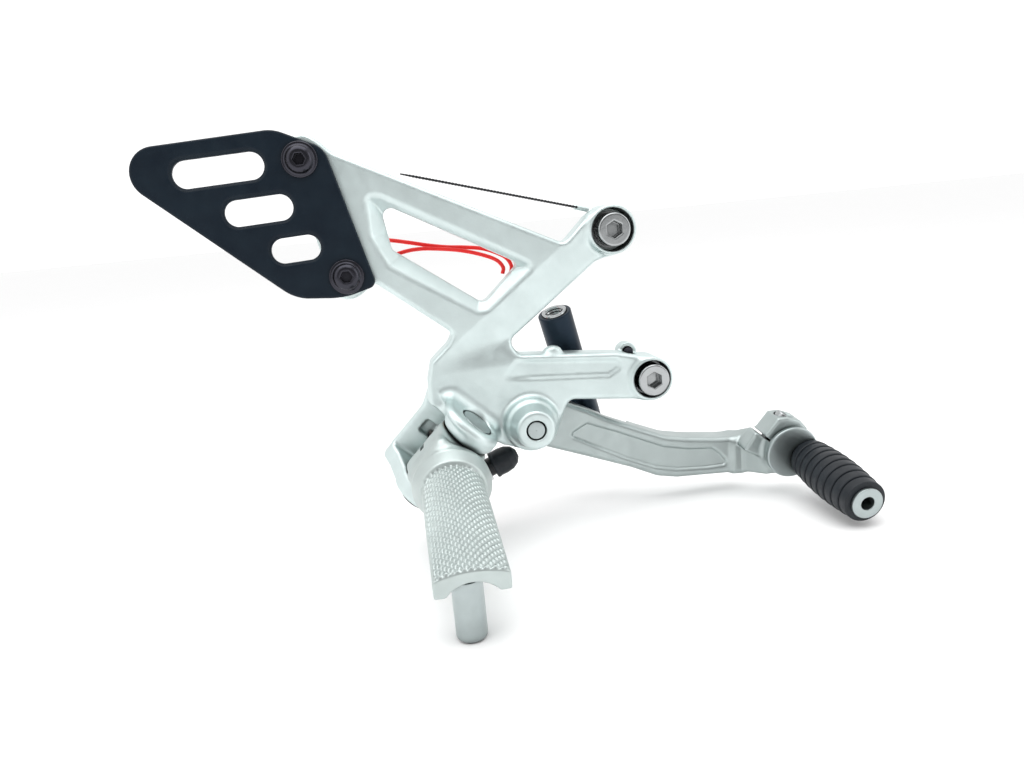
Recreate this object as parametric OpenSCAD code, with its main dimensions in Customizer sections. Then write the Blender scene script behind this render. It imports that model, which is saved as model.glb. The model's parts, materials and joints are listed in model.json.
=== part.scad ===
// Rider footrest bracket with a folding foot peg, a heel guard and a shift lever.
// Right hand side of a motorcycle: +X is forward, -Y is outward, +Z is up.
// The origin is on the upper frame bolt's axis, on the face that meets the frame.

/* [Bracket] */
// Distance of the lever pivot behind the upper frame bolt
pivot_back = 39.5; // [38:0.5:41]
// Distance of the lever pivot below the upper frame bolt
pivot_drop = 74; // [72:0.5:76]
// Depth from the frame face to the bracket's outer face
bracket_depth = 16; // [15:0.5:18]
// Thickness of the bracket's struts
strut_t = 10; // [9:0.5:10]
// Outer radius of the upper frame boss
upper_boss_r = 9.8; // [9.6:0.1:10.4]
// Outer radius of the lower frame boss
lower_boss_r = 9.1; // [9:0.1:9.6]
// Diameter of the frame bolts
frame_bolt_d = 8; // [8]
// Free length of the frame bolts past the frame face
bolt_reach = 24; // [16:1:30]

/* [Heel guard] */
// Thickness of the heel guard plate
guard_t = 3; // [2:0.5:4]
// Diameter of the heel guard screws
guard_screw_d = 6; // [5:1:6]

/* [Foot peg] */
// Rise of the hinge pin from horizontal, seen from outside
pin_rise = 46.5; // [45:0.5:48]
// Outward lean of the hinge pin's upper end
pin_lean = 11; // [10:0.5:12]
// Diameter of the hinge pin
pin_d = 8; // [8]
// Half of the clevis slot's width
slot_half = 12; // [12]
// Downward slope of the foot peg towards its tip
peg_droop = 7.4; // [7:0.1:7.8]
// Distance from the hinge pin to the peg's tip
peg_len = 84; // [80:1:88]
// Width of the peg's tread
tread_w = 24; // [23:0.5:25]

/* [Shift lever] */
// Thickness of the lever arm
lever_t = 12; // [11.5:0.5:12]
// Diameter of the lever's pivot pin
pivot_pin_d = 8; // [8]
// Length of the toe peg's rubber
toe_len = 42; // [38:1:46]

/* [Hidden] */
$fn = 48;

// Outer and rear faces of the struts
face_y = -bracket_depth;
rear_y = face_y + strut_t;
// Centres below are [forward, up] from the lever pivot
upper_boss = [pivot_back, pivot_drop];
lower_boss = [52, 12];
guard_screw_at = [[-76, 110], [-65, 66.5]];
boss_face_y = face_y - 1;
counterbore = [8.4, 7.7];
boss_r = [upper_boss_r, lower_boss_r];
boss_at = [upper_boss, lower_boss];
seat_y = face_y + 6;
washer_t = 1.6;
bolt_head_r = 6.5;
bolt_head_h = 8;
bolt_clear_r = frame_bolt_d / 2 + 0.3;

// Hinge of the foot peg, from the lever pivot
hinge_at = [-36, face_y - 4.3, -9];
pin_r = pin_d / 2;
pin_fit = 0.05;
barrel_r = 11;
ear_r = 11.5;
head_ear_t = 8.5;
tail_ear_t = 7.5;
pin_head_r = 6.4;
pin_head_t = 2.5;
tongue_half = slot_half - 0.75;
back_wall_y = 12;
wall_top = 17.5;
spring_wire = 1.6;
// The spring leg's place along the pin and its height above the pin
spring_leg = [-0.6, 4.8];

// Lever
lever_y = rear_y + 0.8;
hub_r = 12;
hub_h = 12;
bush_r = 6;
pivot_r = pivot_pin_d / 2;
ball_seat_t = 7;
ball_at = [29.7, lever_y + ball_seat_t + 13, -8.5];
ball_r = 5.8;
socket_r = 7.1;
socket_len = 53.7;
toe_at = [111.5, face_y - 1, -27];
toe_droop = 7.5;
flange_r = 11.4;
flange_t = 2.5;
eye_r = 10.8;
eye_t = 12;
shank_r = 7;

// Small fittings behind the bracket
tie_at = [27.5, -3, 84.2];
loom_lug = [45, 22.8];

// Switch and its wires
switch_at = [-15.8, -5, -19];
wire_d = 1.6;

// Moves a drawing in [forward, up] onto the plane y = at, growing inward
module slab(at, thickness) {
    translate([0, at + thickness, 0]) rotate([90, 0, 0]) linear_extrude(thickness) children();
}

// A cylinder along Y that starts at y = at and grows inward
module post(p, at, length, r, r2 = -1) {
    translate([p[0], at, p[1]]) rotate([-90, 0, 0])
        cylinder(h = length, r1 = r, r2 = r2 < 0 ? r : r2);
}

// From the part's origin to the lever pivot
module from_pivot() {
    translate([-pivot_back, 0, -pivot_drop]) children();
}

// The hinge's own frame: X along the pin to its head, -Y outward
module hinge() {
    from_pivot() translate(hinge_at) rotate([0, -pin_rise, 0]) rotate([0, 0, -pin_lean]) children();
}

// The peg's own frame: -Y along the peg to its tip
module peg_frame() {
    from_pivot() translate(hinge_at) rotate([peg_droop, 0, 0]) children();
}

// The toe peg's own frame: -Y along the toe peg to its end
module toe_frame() {
    from_pivot() translate(toe_at) rotate([toe_droop, 0, 0]) children();
}

// A cylinder along the X axis of the hinge's frame
module pin_bar(from, to, r) {
    translate([from, 0, 0]) rotate([0, 90, 0]) cylinder(h = to - from, r = r);
}

module hex(across_flats, height) {
    cylinder(h = height, r = across_flats / sqrt(3), $fn = 6);
}

// Rounds the inner and outer corners of a drawing
module rounded(r_out, r_in) {
    offset(r = -r_in) offset(delta = r_in) offset(r = r_out) offset(delta = -r_out) children();
}

// Spur on the upper frame boss that holds the strap's end
module tie_spur(r) {
    translate(tie_at) rotate([0, 105.4, 0]) cylinder(h = 10, r = r);
}

// ---- bracket ----

module bracket_outline() {
    rounded(3, 3.5) polygon([[-82, 116], [-74, 119], [-64, 112], [20, 70.5], [32, 82],
        [45, 66], [32.5, 62], [-5.5, 34], [-2, 28.5], [38, 24.6], [54, 20.5], [60, 8],
        [50, 3.5], [17, 7.5], [10, -6], [0, -11], [-12, -8], [-24, 2], [-40, 12],
        [-39.5, 22], [-37.5, 29.5], [-30, 36], [-27.5, 40], [-56, 63.5], [-66, 58],
        [-71.5, 66]]);
}

module bracket_window() {
    rounded(3, 0.1) polygon([[-49.8, 92.8], [-47, 74.5], [-14, 50.3], [1, 63.8], [-1, 66]]);
}

// Clevis that carries the peg: two ears and the wall behind them
module clevis() {
    wall_t = 5;
    for (ear = [[slot_half, head_ear_t], [-slot_half - tail_ear_t, tail_ear_t]]) {
        pin_bar(ear[0], ear[0] + ear[1], ear_r);
        translate([ear[0], 0, -ear_r]) cube([ear[1], back_wall_y + wall_t, 2 * ear_r]);
    }
    translate([-slot_half - 1, back_wall_y, -ear_r])
        cube([2 * slot_half + 2, wall_t, ear_r + wall_top]);
    // the tail ear rises towards the wall's top
    translate([-slot_half - tail_ear_t, 0, 0]) rotate([90, 0, 90]) linear_extrude(tail_ear_t)
        rounded(2, 0.1) polygon([[-2, 0], [-2, 11.2], [7, 15], [11, wall_top],
            [back_wall_y + wall_t, wall_top], [back_wall_y + wall_t, 0]]);
}

module clevis_cuts() {
    pin_bar(-slot_half - tail_ear_t - 1, slot_half + head_ear_t + 20, pin_r + pin_fit);
    pin_bar(slot_half + head_ear_t - pin_head_t, slot_half + head_ear_t + 20, pin_head_r + 0.1);
    // slot between the ears, open outward and up for the peg's tongue
    translate([-slot_half, -20, -ear_r - 14]) cube([2 * slot_half, 20 + back_wall_y, 60]);
    // hole in the back wall for the spring's leg
    translate([-5.5, back_wall_y - 1, spring_leg[1] - 1.4]) cube([6.2, 8, 6.6]);
}

module bracket() {
    color("silver") difference() {
        union() {
            from_pivot() {
                slab(face_y, strut_t) bracket_outline();
                for (i = [0, 1]) post(boss_at[i], boss_face_y, -boss_face_y, boss_r[i]);
                for (p = guard_screw_at) post(p, face_y, strut_t, 8.5);
                // pivot boss: a base ring, a shoulder and a nose
                post([0, 0], face_y - 4, strut_t + 4, 10.8);
                post([0, 0], face_y - 13, 9.5, 7.6, 9.6);
                // lug for the cable tie and lug for the loom screw
                tie_spur(1);
                post(loom_lug, rear_y - 1, 6, 4);
                // lug that holds the switch
                translate(switch_at) rotate([0, -21, 0]) translate([-8, 0, 0])
                    rotate([0, 90, 0]) cylinder(h = 3, r = 7.2);
                translate([-27.2, switch_at[1] - 3, -15]) cube([4.2, 7, 20]);
            }
            hinge() clevis();
        }
        from_pivot() {
            slab(face_y - 1, strut_t + 2) bracket_window();
            for (i = [0, 1]) {
                post(boss_at[i], boss_face_y - 1, seat_y - boss_face_y + 1, counterbore[i]);
                post(boss_at[i], boss_face_y, 30, bolt_clear_r);
            }
            for (p = guard_screw_at) post(p, face_y - 1, strut_t + 2, guard_screw_d / 2 + 0.05);
            post([0, 0], face_y - 14, 40, pivot_r);
            post(loom_lug, face_y + 3, 20, 2.05);
            translate(switch_at) rotate([0, -21, 0]) translate([-20, 0, 0])
                rotate([0, 90, 0]) cylinder(h = 26, r = 4.05);
        }
        hinge() clevis_cuts();
    }
}

// ---- heel guard ----

module guard_outline() {
    rounded(3, 1) polygon([[-135, 107], [-133.8, 113.5], [-127, 118.8], [-84, 121.4],
        [-78, 120], [-67, 113.6], [-54, 63.5], [-54.8, 60.3], [-67, 58.6], [-83, 60],
        [-89, 63.8], [-131, 100.4]]);
}

// An obround slot centred at p
module guard_slot(p, length, width) {
    translate(p) rotate(3) hull()
        for (side = [-1, 1]) translate([side * (length - width) / 2, 0]) circle(d = width);
}

module heel_guard() {
    color([0.12, 0.13, 0.15]) from_pivot() difference() {
        slab(face_y - guard_t, guard_t - 0.02) difference() {
            guard_outline();
            guard_slot([-105, 108.8], 32.4, 9.9);
            guard_slot([-93.1, 93.5], 24.6, 9.5);
            guard_slot([-82, 78.4], 18, 9.2);
        }
        for (p = guard_screw_at) post(p, face_y - 5, 9, guard_screw_d / 2 + 0.3);
    }
}

module heel_guard_screws() {
    color([0.1, 0.1, 0.12]) from_pivot() for (p = guard_screw_at) {
        difference() {
            union() {
                post(p, face_y - guard_t - 1.3, 1.25, 6.5);
                post(p, face_y - guard_t - 3.3, 2.1, 4, 5.4);
                post(p, face_y - guard_t - 0.1, guard_t + strut_t - 1, guard_screw_d / 2 - 0.05);
            }
            translate([p[0], face_y - guard_t - 3.4, p[1]]) rotate([-90, 30, 0]) hex(4, 2.4);
        }
    }
}

// ---- frame bolts ----

module frame_bolts() {
    head_y = seat_y - washer_t - bolt_head_h;
    color("gainsboro") from_pivot() for (p = boss_at) difference() {
        union() {
            post(p, head_y, bolt_head_h, bolt_head_r);
            post(p, head_y + 1, bolt_reach - head_y - 1, frame_bolt_d / 2);
        }
        translate([p[0], head_y - 1, p[1]]) rotate([-90, 0, 0]) hex(6, 5);
        // relief where the thread starts
        difference() {
            post(p, -2, 2, frame_bolt_d / 2 + 1);
            post(p, -3, 4, frame_bolt_d / 2 - 0.5);
        }
    }
}

module frame_bolt_washers() {
    color("silver") from_pivot() for (i = [0, 1]) difference() {
        post(boss_at[i], seat_y - washer_t, washer_t - 0.02, 7.2);
        post(boss_at[i], seat_y - 3, 5, frame_bolt_d / 2 + 0.2);
    }
}

// ---- foot peg ----

// Height of the tread's crown above its edges, from root to tip
root_crown = 8.4;
tip_crown = 2.1;
tread_root_y = -22;
edge_z = -1.6;
foot_z = -7.8;

// Section of the peg across its length: a crowned top on two straight feet
module peg_section(crown) {
    r = (pow(tread_w / 2, 2) + crown * crown) / (2 * crown);
    intersection() {
        translate([-tread_w / 2, foot_z]) square([tread_w, 40]);
        translate([0, edge_z + crown - r]) circle(r, $fn = 96);
    }
}

module section_at(y, crown) {
    translate([0, y, 0]) rotate([90, 0, 0]) linear_extrude(0.1) children();
}

// Small pyramid points in rows on the tread are left to the surface finish
module foot_peg() {
    color("whitesmoke") difference() {
        union() {
            hinge() pin_bar(-tongue_half, tongue_half, barrel_r);
            hinge() intersection() {
                translate([-tongue_half, -15, -barrel_r])
                    cube([2 * tongue_half, 15, 2 * barrel_r]);
                translate([0, -4, 0]) sphere(r = 19);
            }
            // bell that widens from the tongue to the tread
            peg_frame() translate([0.5, 0, -4]) intersection() {
                rotate([90, 0, 0]) rotate_extrude() polygon([[0, 12.5], [13, 12.5],
                    [15.2, 14], [15.4, 17], [14.2, 20], [12.9, 23], [0, 23]]);
                translate([-20, -40, -9.5]) cube([40, 40, 40]);
            }
            peg_frame() translate([0.5, 0, 0]) hull() {
                section_at(tread_root_y, root_crown) peg_section(root_crown);
                section_at(-peg_len + 0.1, tip_crown) peg_section(tip_crown);
            }
        }
        hinge() pin_bar(-30, 30, pin_r + pin_fit);
        // pocket for the return spring's coils, open to the rear, and a groove for its leg
        hinge() {
            pin_bar(-4, 4, 8.2);
            translate([-4, 0, -8.2]) cube([8, 20, 16.4]);
            translate([spring_leg[0] - 1.1, -5, 3.4]) cube([2.2, 20, 10]);
        }
        // groove under the tread
        peg_frame() translate([0.5, -30, foot_z - 6.3]) rotate([90, 0, 0])
            cylinder(h = 80, r = 10.5);
        peg_frame() translate([feeler_x, feeler_y, -12]) cylinder(h = 10, r = 3);
    }
}

feeler_x = -0.8;
feeler_y = -76;
module peg_feeler() {
    color("lightgray") peg_frame() translate([feeler_x, feeler_y, 0]) {
        translate([0, 0, -6]) cylinder(h = 3.8, r = 2.95);
        translate([0, 0, -26.8]) cylinder(h = 21.1, r = 5.1);
        translate([0, 0, -27.8]) cylinder(h = 1, r1 = 4.1, r2 = 5.1);
    }
}

module peg_hinge_pin() {
    tail = -slot_half - tail_ear_t - 3.2;
    color("lightgray") hinge() difference() {
        union() {
            pin_bar(tail, slot_half + head_ear_t - pin_head_t + 0.5, pin_r);
            pin_bar(slot_half + head_ear_t - pin_head_t + 0.02, slot_half + head_ear_t,
                pin_head_r);
        }
        difference() {
            pin_bar(tail + 0.9, tail + 1.9, pin_r + 1);
            pin_bar(tail, tail + 3, pin_r - 0.6);
        }
    }
}

module peg_pin_washer() {
    color("gray") hinge() difference() {
        pin_bar(-slot_half - tail_ear_t - 1.22, -slot_half - tail_ear_t - 0.02, 7.5);
        pin_bar(-30, 0, pin_r + 0.1);
    }
}

module peg_pin_circlip() {
    tail = -slot_half - tail_ear_t - 3.2;
    color("dimgray") hinge() difference() {
        pin_bar(tail + 1, tail + 1.8, 6.5);
        pin_bar(tail, tail + 3, pin_r - 0.5);
        translate([tail, -1.6, -10]) cube([3, 3.2, 8]);
    }
}

// Torsion spring: the sleeve that its coils fill and a leg into the back wall
module peg_return_spring() {
    coil_r = 6.6;
    color("lightpink") hinge() {
        difference() {
            pin_bar(-3.7, 3.7, coil_r + spring_wire / 2);
            pin_bar(-10, 10, coil_r - spring_wire / 2);
        }
        translate([spring_leg[0], 4.6, spring_leg[1]]) rotate([-90, 0, 0])
            cylinder(h = back_wall_y - 1, d = spring_wire);
    }
}

module peg_thrust_washers() {
    color("darkgoldenrod") hinge() for (x = [slot_half - 0.65, -slot_half + 0.1]) difference() {
        pin_bar(x, x + 0.55, 10.5);
        pin_bar(-20, 20, pin_r + 0.15);
    }
}

// ---- lever pivot ----

module pivot_pin() {
    color("lightgray") from_pivot() difference() {
        post([0, 0], face_y - 12.6, 12.6 - face_y + 9.5, pivot_r);
        difference() {
            post([0, 0], lever_y + hub_h + 1.6, 1, pivot_r + 1);
            post([0, 0], lever_y + hub_h, 4, pivot_r - 0.6);
        }
    }
}

module pivot_bush() {
    color("peru") from_pivot() difference() {
        post([0, 0], lever_y, hub_h, bush_r);
        post([0, 0], lever_y - 1, hub_h + 2, pivot_r + 0.04);
    }
}

// Rubber rings on both sides of the hub
module pivot_seals() {
    color("black") from_pivot() for (y = [rear_y + 0.1, lever_y + hub_h + 0.1]) difference() {
        post([0, 0], y, 0.6, 9.4);
        post([0, 0], y - 1, 3, 7.6);
    }
}

module pivot_washer() {
    color("silver") from_pivot() difference() {
        post([0, 0], lever_y + hub_h + 0.75, 0.8, 9.4);
        post([0, 0], lever_y + hub_h, 3, pivot_r + 0.1);
    }
}

module pivot_circlip() {
    color("dimgray") from_pivot() difference() {
        post([0, 0], lever_y + hub_h + 1.7, 0.8, 6.5);
        post([0, 0], lever_y + hub_h, 4, pivot_r - 0.5);
        translate([-1.6, lever_y + hub_h, -10]) cube([3.2, 4, 8]);
    }
}

// ---- shift lever ----

module lever_outline() {
    rounded(3, 5) union() {
        circle(hub_r - 1.5);
        polygon([[0, 10], [19, 3.5], [27, -0.5], [34.5, -5], [49.6, -12], [61, -17],
            [70.5, -19], [85, -21], [97, -22], [97, -39], [91, -38.1], [64.7, -36.6],
            [56, -34.8], [44, -29], [24, -21], [5, -13.6], [-4, -8]]);
    }
}

// The clamp's frame: -X out along the split, Z across it
module clamp_frame() {
    toe_frame() rotate([0, 41.3, 0]) children();
}

// A drawing in [-X, Z] of the clamp's frame, a little thinner than the eye
module clamp_block() {
    clamp_frame() translate([0, eye_t - 0.2, 0]) rotate([90, 0, 0])
        linear_extrude(eye_t - 0.6) mirror([1, 0]) children();
}

module shift_lever() {
    color("darkgray") difference() {
        union() {
            from_pivot() {
                slab(lever_y, lever_t) lever_outline();
                // the end steps outward to the toe peg's clamp
                hull() {
                    translate([91, lever_y, -37.9]) cube([4, lever_t, 16.4]);
                    translate([100, toe_at[1] + 2, -37.5]) cube([2, eye_t - 3, 19]);
                }
            }
            toe_frame() translate([0, eye_t + 0.1, 0]) rotate([90, 0, 0])
                cylinder(h = eye_t, r = eye_r);
            clamp_block() polygon([[-4, 9], [0, 12], [5, 12.7], [10.7, 10.8], [14.2, 7.8],
                [13.7, -6], [15, -10], [0, -8]]);
        }
        from_pivot() {
            post([0, 0], lever_y - 1, hub_h + 2, bush_r);
            post([ball_at[0], ball_at[2]], lever_y - 1, lever_t + 2, 4.05);
            // the arm is thinner at the ball stud
            translate([13.5, lever_y + ball_seat_t, -30]) cube([32.5, lever_t, 40]);
        }
        toe_frame() translate([0, eye_t + 1, 0]) rotate([90, 0, 0])
            cylinder(h = eye_t + 2, r = shank_r + 0.02);
        clamp_frame() {
            // the split and the pinch screw's hole
            translate([-30, -2, -2.6]) cube([30, eye_t + 4, 1.7]);
            translate([-pinch_u, eye_t / 2, -10]) cylinder(h = 30, r = 2.05);
            translate([-pinch_u, eye_t / 2, pinch_seat]) cylinder(h = 10, r = 3.6);
        }
    }
}

pinch_u = 9.8;
pinch_seat = 7.8;
module pinch_screw() {
    color("gray") clamp_frame() translate([-pinch_u, eye_t / 2, 0]) difference() {
        union() {
            translate([0, 0, -9.5]) cylinder(h = 18, r = 2);
            translate([0, 0, pinch_seat + 0.02]) cylinder(h = 3, r = 3.4);
        }
        translate([0, 0, pinch_seat + 1]) hex(3, 4);
    }
}

// ---- toe peg ----

// Where the toe peg's axis lies from the clamp's axis
toe_x = 7.3;
toe_z = -3.3;

module toe_peg_core() {
    color("lightgray") toe_frame() difference() {
        union() {
            translate([0, 0, 0]) rotate([90, 0, 0]) cylinder(h = flange_t, r = flange_r);
            translate([0, eye_t, 0]) rotate([90, 0, 0]) cylinder(h = eye_t, r = shank_r);
            translate([toe_x, 0, toe_z]) rotate([90, 0, 0]) cylinder(h = toe_len + 2, r = 4.6);
            translate([toe_x, -toe_len - flange_t - 0.05, toe_z]) rotate([90, 0, 0])
                cylinder(h = 1.6, r = 6);
            translate([toe_x, -toe_len, toe_z]) rotate([90, 0, 0]) cylinder(h = 3, r = 4.6);
        }
        translate([toe_x, -toe_len + 14, toe_z]) rotate([90, 0, 0]) cylinder(h = 30, r = 2.3);
    }
}

// Ribbed sleeve: each rib rises to a lip and steps down to the next
module toe_peg_rubber() {
    ribs = 9;
    pitch = toe_len / ribs;
    function barrel(t) = 8.6 + 1.4 * sin(180 * t) - 0.3 * t;
    profile = concat([[4.62, 0]],
        [for (i = [0:ribs - 1], s = [0, 0.85, 0.86])
            [barrel((i + s) / ribs) - (s == 0.85 ? 0 : 0.7), (i + s) * pitch]],
        [[6.4, toe_len], [4.62, toe_len]]);
    color([0.15, 0.15, 0.18]) toe_frame() translate([toe_x, -flange_t - 0.02, toe_z])
        rotate([90, 0, 0]) rotate_extrude() polygon(profile);
}

// ---- linkage ball joint ----

module ball_stud() {
    color("silver") from_pivot() translate(ball_at) {
        sphere(r = ball_r);
        rotate([90, 0, 0]) cylinder(h = 11, r = 3.4);
        translate([0, -8.5, 0]) rotate([90, 0, 0]) hex(11, 4.48);
        translate([0, -12, 0]) rotate([90, 0, 0]) cylinder(h = ball_seat_t + 1, r = 4);
    }
}

// The socket leans: X to the rear and Y outward at its top
module socket_frame() {
    from_pivot() translate(ball_at) rotate([15.3, 0, 0]) rotate([0, -13.9, 0]) children();
}

module linkage_socket() {
    color([0.15, 0.16, 0.19]) difference() {
        socket_frame() translate([0, 0, -9]) cylinder(h = socket_len + 9, r = socket_r);
        socket_frame() translate([0, 0, socket_len - 14]) cylinder(h = 20, r = 5.3);
        from_pivot() translate(ball_at) {
            sphere(r = ball_r + 0.09);
            rotate([90, 0, 0]) cylinder(h = 14, r1 = 4.6, r2 = 7.4);
        }
    }
}

module socket_boot() {
    color("black") from_pivot() translate(ball_at) rotate([90, 0, 0]) difference() {
        translate([0, 0, 5.4]) cylinder(h = 1.3, r = 5.3);
        translate([0, 0, 4]) cylinder(h = 4, r = 3.75);
    }
}

module socket_insert() {
    color("white") socket_frame() difference() {
        translate([0, 0, socket_len - 14 + 0.02]) cylinder(h = 14.8, r = 5.28);
        translate([0, 0, socket_len - 13]) cylinder(h = 20, r = 3.4);
    }
}

// ---- switch behind the clevis ----

module switch_frame() {
    from_pivot() translate(switch_at) rotate([0, -21, 0]) rotate([0, 90, 0]) children();
}

module switch_body() {
    color([0.1, 0.1, 0.12]) switch_frame() difference() {
        union() {
            translate([0, 0, -11]) cylinder(h = 12, r = 4);
            translate([0, 0, -14]) cylinder(h = 3.5, r = 5);
        }
        translate([0, 0, -9]) cylinder(h = 12, r = 2.05);
    }
}

module switch_nut() {
    color("silver") switch_frame() translate([0, 0, -4.95]) difference() {
        hex(10, 2.4);
        translate([0, 0, -1]) cylinder(h = 5, r = 4.02);
    }
}

module switch_plunger() {
    color("silver") switch_frame() translate([0, 0, -6]) cylinder(h = 13.38, r = 2);
}

module switch_boot() {
    color("black") switch_frame() rotate_extrude() polygon([[4.35, -0.6], [5.7, -0.6],
        [5.7, 4], [5.2, 7], [3.8, 9.6], [0, 11], [0, 7.4], [4.35, 7.4]]);
}

// A tube swept along hand-placed points
module tube(points, d, sides = 8) {
    n = len(points);
    function unit(v) = v / norm(v);
    function heading(i) = unit(points[min(i + 1, n - 1)] - points[max(i - 1, 0)]);
    function side_of(t) = unit(cross(t, abs(t[1]) < 0.9 ? [0, 1, 0] : [1, 0, 0]));
    rings = [for (i = [0:n - 1]) let (t = heading(i), u = side_of(t), v = cross(t, u))
        [for (k = [0:sides - 1]) let (a = 360 * k / sides)
            points[i] + d / 2 * (cos(a) * u + sin(a) * v)]];
    verts = [for (ring = rings, p = ring) p];
    walls = [for (i = [0:n - 2], k = [0:sides - 1]) let (k2 = (k + 1) % sides)
        [i * sides + k, i * sides + k2, (i + 1) * sides + k2, (i + 1) * sides + k]];
    ends = [[for (k = [sides - 1:-1:0]) k], [for (k = [0:sides - 1]) (n - 1) * sides + k]];
    polyhedron(verts, concat(walls, ends));
}

// Route points by hand from the lever pivot, forward, inward and up
wire_a = [[-29.6, -3.8, -24.5], [-32, -1.8, -24.5], [-32.6, 0.4, -20], [-30.4, 0.5, -13],
    [-27, 0.5, -5], [-24, 0.3, 5], [-22.5, 0, 15], [-22, 0, 25], [-23, -0.3, 35],
    [-27, -0.6, 44], [-33, -0.6, 51], [-41, -0.6, 58], [-49, -0.6, 64.5],
    [-55.5, -0.6, 69.5], [-58, -0.6, 74], [-56, -0.6, 77.6], [-51.5, -0.6, 78.6],
    [-46, -0.6, 77.8], [-39, -0.6, 76.2], [-32, -0.6, 74.5], [-25, -0.6, 73.2],
    [-18, -0.6, 72.4], [-11, -0.6, 71.2], [-5.5, -0.6, 69], [-1.5, -0.8, 66.4],
    [0.2, -1.1, 63.2], [-0.3, -1.5, 60.5]];
wire_b = [[-29.6, -6.2, -24.5], [-32.5, -5.5, -27.5], [-36, -1.5, -30.5], [-39, 1.4, -27],
    [-38.5, 1.4, -20], [-33.5, 0.9, -10], [-30, 0.9, 0], [-27.5, 0.5, 12], [-25.5, 0, 22], [-23.5, -1.4, 32],
    [-26, -2.6, 42], [-33.5, -3, 50.5], [-43, -3, 57.5], [-50, -3, 62.5],
    [-53.5, -3, 67], [-50.5, -3, 70.8], [-43, -3, 73], [-36, -3, 73.6], [-28, -3, 72.8],
    [-20, -3, 71.4], [-12, -3, 69], [-6, -3, 66.2], [-3.5, -3, 63], [-4, -3, 60.4]];

module switch_wire_long() {
    color("red") from_pivot() tube(wire_a, wire_d);
}

module switch_wire_short() {
    color("red") from_pivot() tube(wire_b, wire_d);
}

// ---- small fittings ----

module cable_tie() {
    color("black") from_pivot() difference() {
        union() {
            hull() {
                translate([28, -4.2, 83.6]) cube([1, 2.4, 0.8]);
                translate([-36.5, -4.2, 101.5]) cube([1, 2.4, 0.7]);
            }
            hull() {
                translate([-36.5, -4.2, 101.5]) cube([1, 2.4, 0.7]);
                translate([-41, -3.6, 103.4]) cube([1, 1.2, 0.5]);
            }
        }
        tie_spur(1.02);
    }
}

module loom_screw() {
    color("dimgray") from_pivot() {
        post(loom_lug, rear_y - 2, 7.1, 2);
        post(loom_lug, rear_y + 5.05, 2.6, 3.2, 2.6);
    }
}

bracket();
heel_guard();
heel_guard_screws();
frame_bolts();
frame_bolt_washers();
foot_peg();
peg_feeler();
peg_hinge_pin();
peg_pin_washer();
peg_pin_circlip();
peg_return_spring();
peg_thrust_washers();
pivot_pin();
pivot_bush();
pivot_seals();
pivot_washer();
pivot_circlip();
shift_lever();
pinch_screw();
toe_peg_core();
toe_peg_rubber();
ball_stud();
linkage_socket();
socket_boot();
socket_insert();
switch_body();
switch_nut();
switch_plunger();
switch_boot();
switch_wire_long();
switch_wire_short();
cable_tie();
loom_screw();
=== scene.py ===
"""Looks of a motorcycle foot peg assembly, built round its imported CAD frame.

Solid pieces are distance fields in millimetres, measured from the lever's pivot,
that are turned into quad meshes; turned pieces are lathed and wires are curves.
"""

import json
import math

import bpy
import numpy as np
from mathutils import Matrix, Vector


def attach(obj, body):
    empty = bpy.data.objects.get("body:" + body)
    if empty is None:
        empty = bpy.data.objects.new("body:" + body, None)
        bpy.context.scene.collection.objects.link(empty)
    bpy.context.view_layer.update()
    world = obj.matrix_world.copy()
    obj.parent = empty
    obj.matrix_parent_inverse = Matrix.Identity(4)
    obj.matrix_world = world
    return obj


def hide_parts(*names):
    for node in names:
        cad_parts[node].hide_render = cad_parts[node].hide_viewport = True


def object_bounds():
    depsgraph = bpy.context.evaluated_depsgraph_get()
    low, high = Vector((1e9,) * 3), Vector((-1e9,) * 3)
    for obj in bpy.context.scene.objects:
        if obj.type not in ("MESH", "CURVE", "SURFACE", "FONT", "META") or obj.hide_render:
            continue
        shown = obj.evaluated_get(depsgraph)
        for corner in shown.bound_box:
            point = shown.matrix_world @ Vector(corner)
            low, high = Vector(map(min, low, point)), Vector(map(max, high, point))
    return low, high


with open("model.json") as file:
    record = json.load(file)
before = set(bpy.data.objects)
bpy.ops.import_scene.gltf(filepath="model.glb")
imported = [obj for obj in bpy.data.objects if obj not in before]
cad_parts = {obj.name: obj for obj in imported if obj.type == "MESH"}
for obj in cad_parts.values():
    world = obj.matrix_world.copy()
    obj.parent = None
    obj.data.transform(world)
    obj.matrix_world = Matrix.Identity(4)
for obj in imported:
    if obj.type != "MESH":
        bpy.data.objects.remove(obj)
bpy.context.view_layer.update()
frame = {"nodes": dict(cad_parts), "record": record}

# ---- places shared by the pieces, in millimetres from the lever's pivot ----

PIVOT = Vector((39.5, 0, 74))  # the upper frame bolt, the row's origin, from the pivot
FACE_Y, REAR_Y = -16.0, -6.0  # the bracket's outer and inner faces
BOSSES = [((39.5, 74), 9.8, 8.4), ((52, 12), 9.1, 7.7)]  # middle, radius, counterbore
GUARD_SCREWS = [(-76, 110), (-65, 66.5)]
GUARD_Y = -19.0  # the heel guard's outer face
LOOM_SCREW = (45, 22.8)
PIN_HOLE_R = 4.05  # the foot peg's hinge pin
EAR_R = 11.5  # the clevis's ears, about the pin
SLOT_HALF = 12.0  # half the gap between the ears
WIRE_D = 0.0016  # in metres
FINE = 1.0


def placed(origin, *turns):
    """A local frame: a 4x4 at origin, turned by (angle, axis) pairs in order."""
    m = Matrix.Translation(origin)
    for angle, axis in turns:
        m = m @ Matrix.Rotation(math.radians(angle), 4, axis)
    return m


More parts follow.
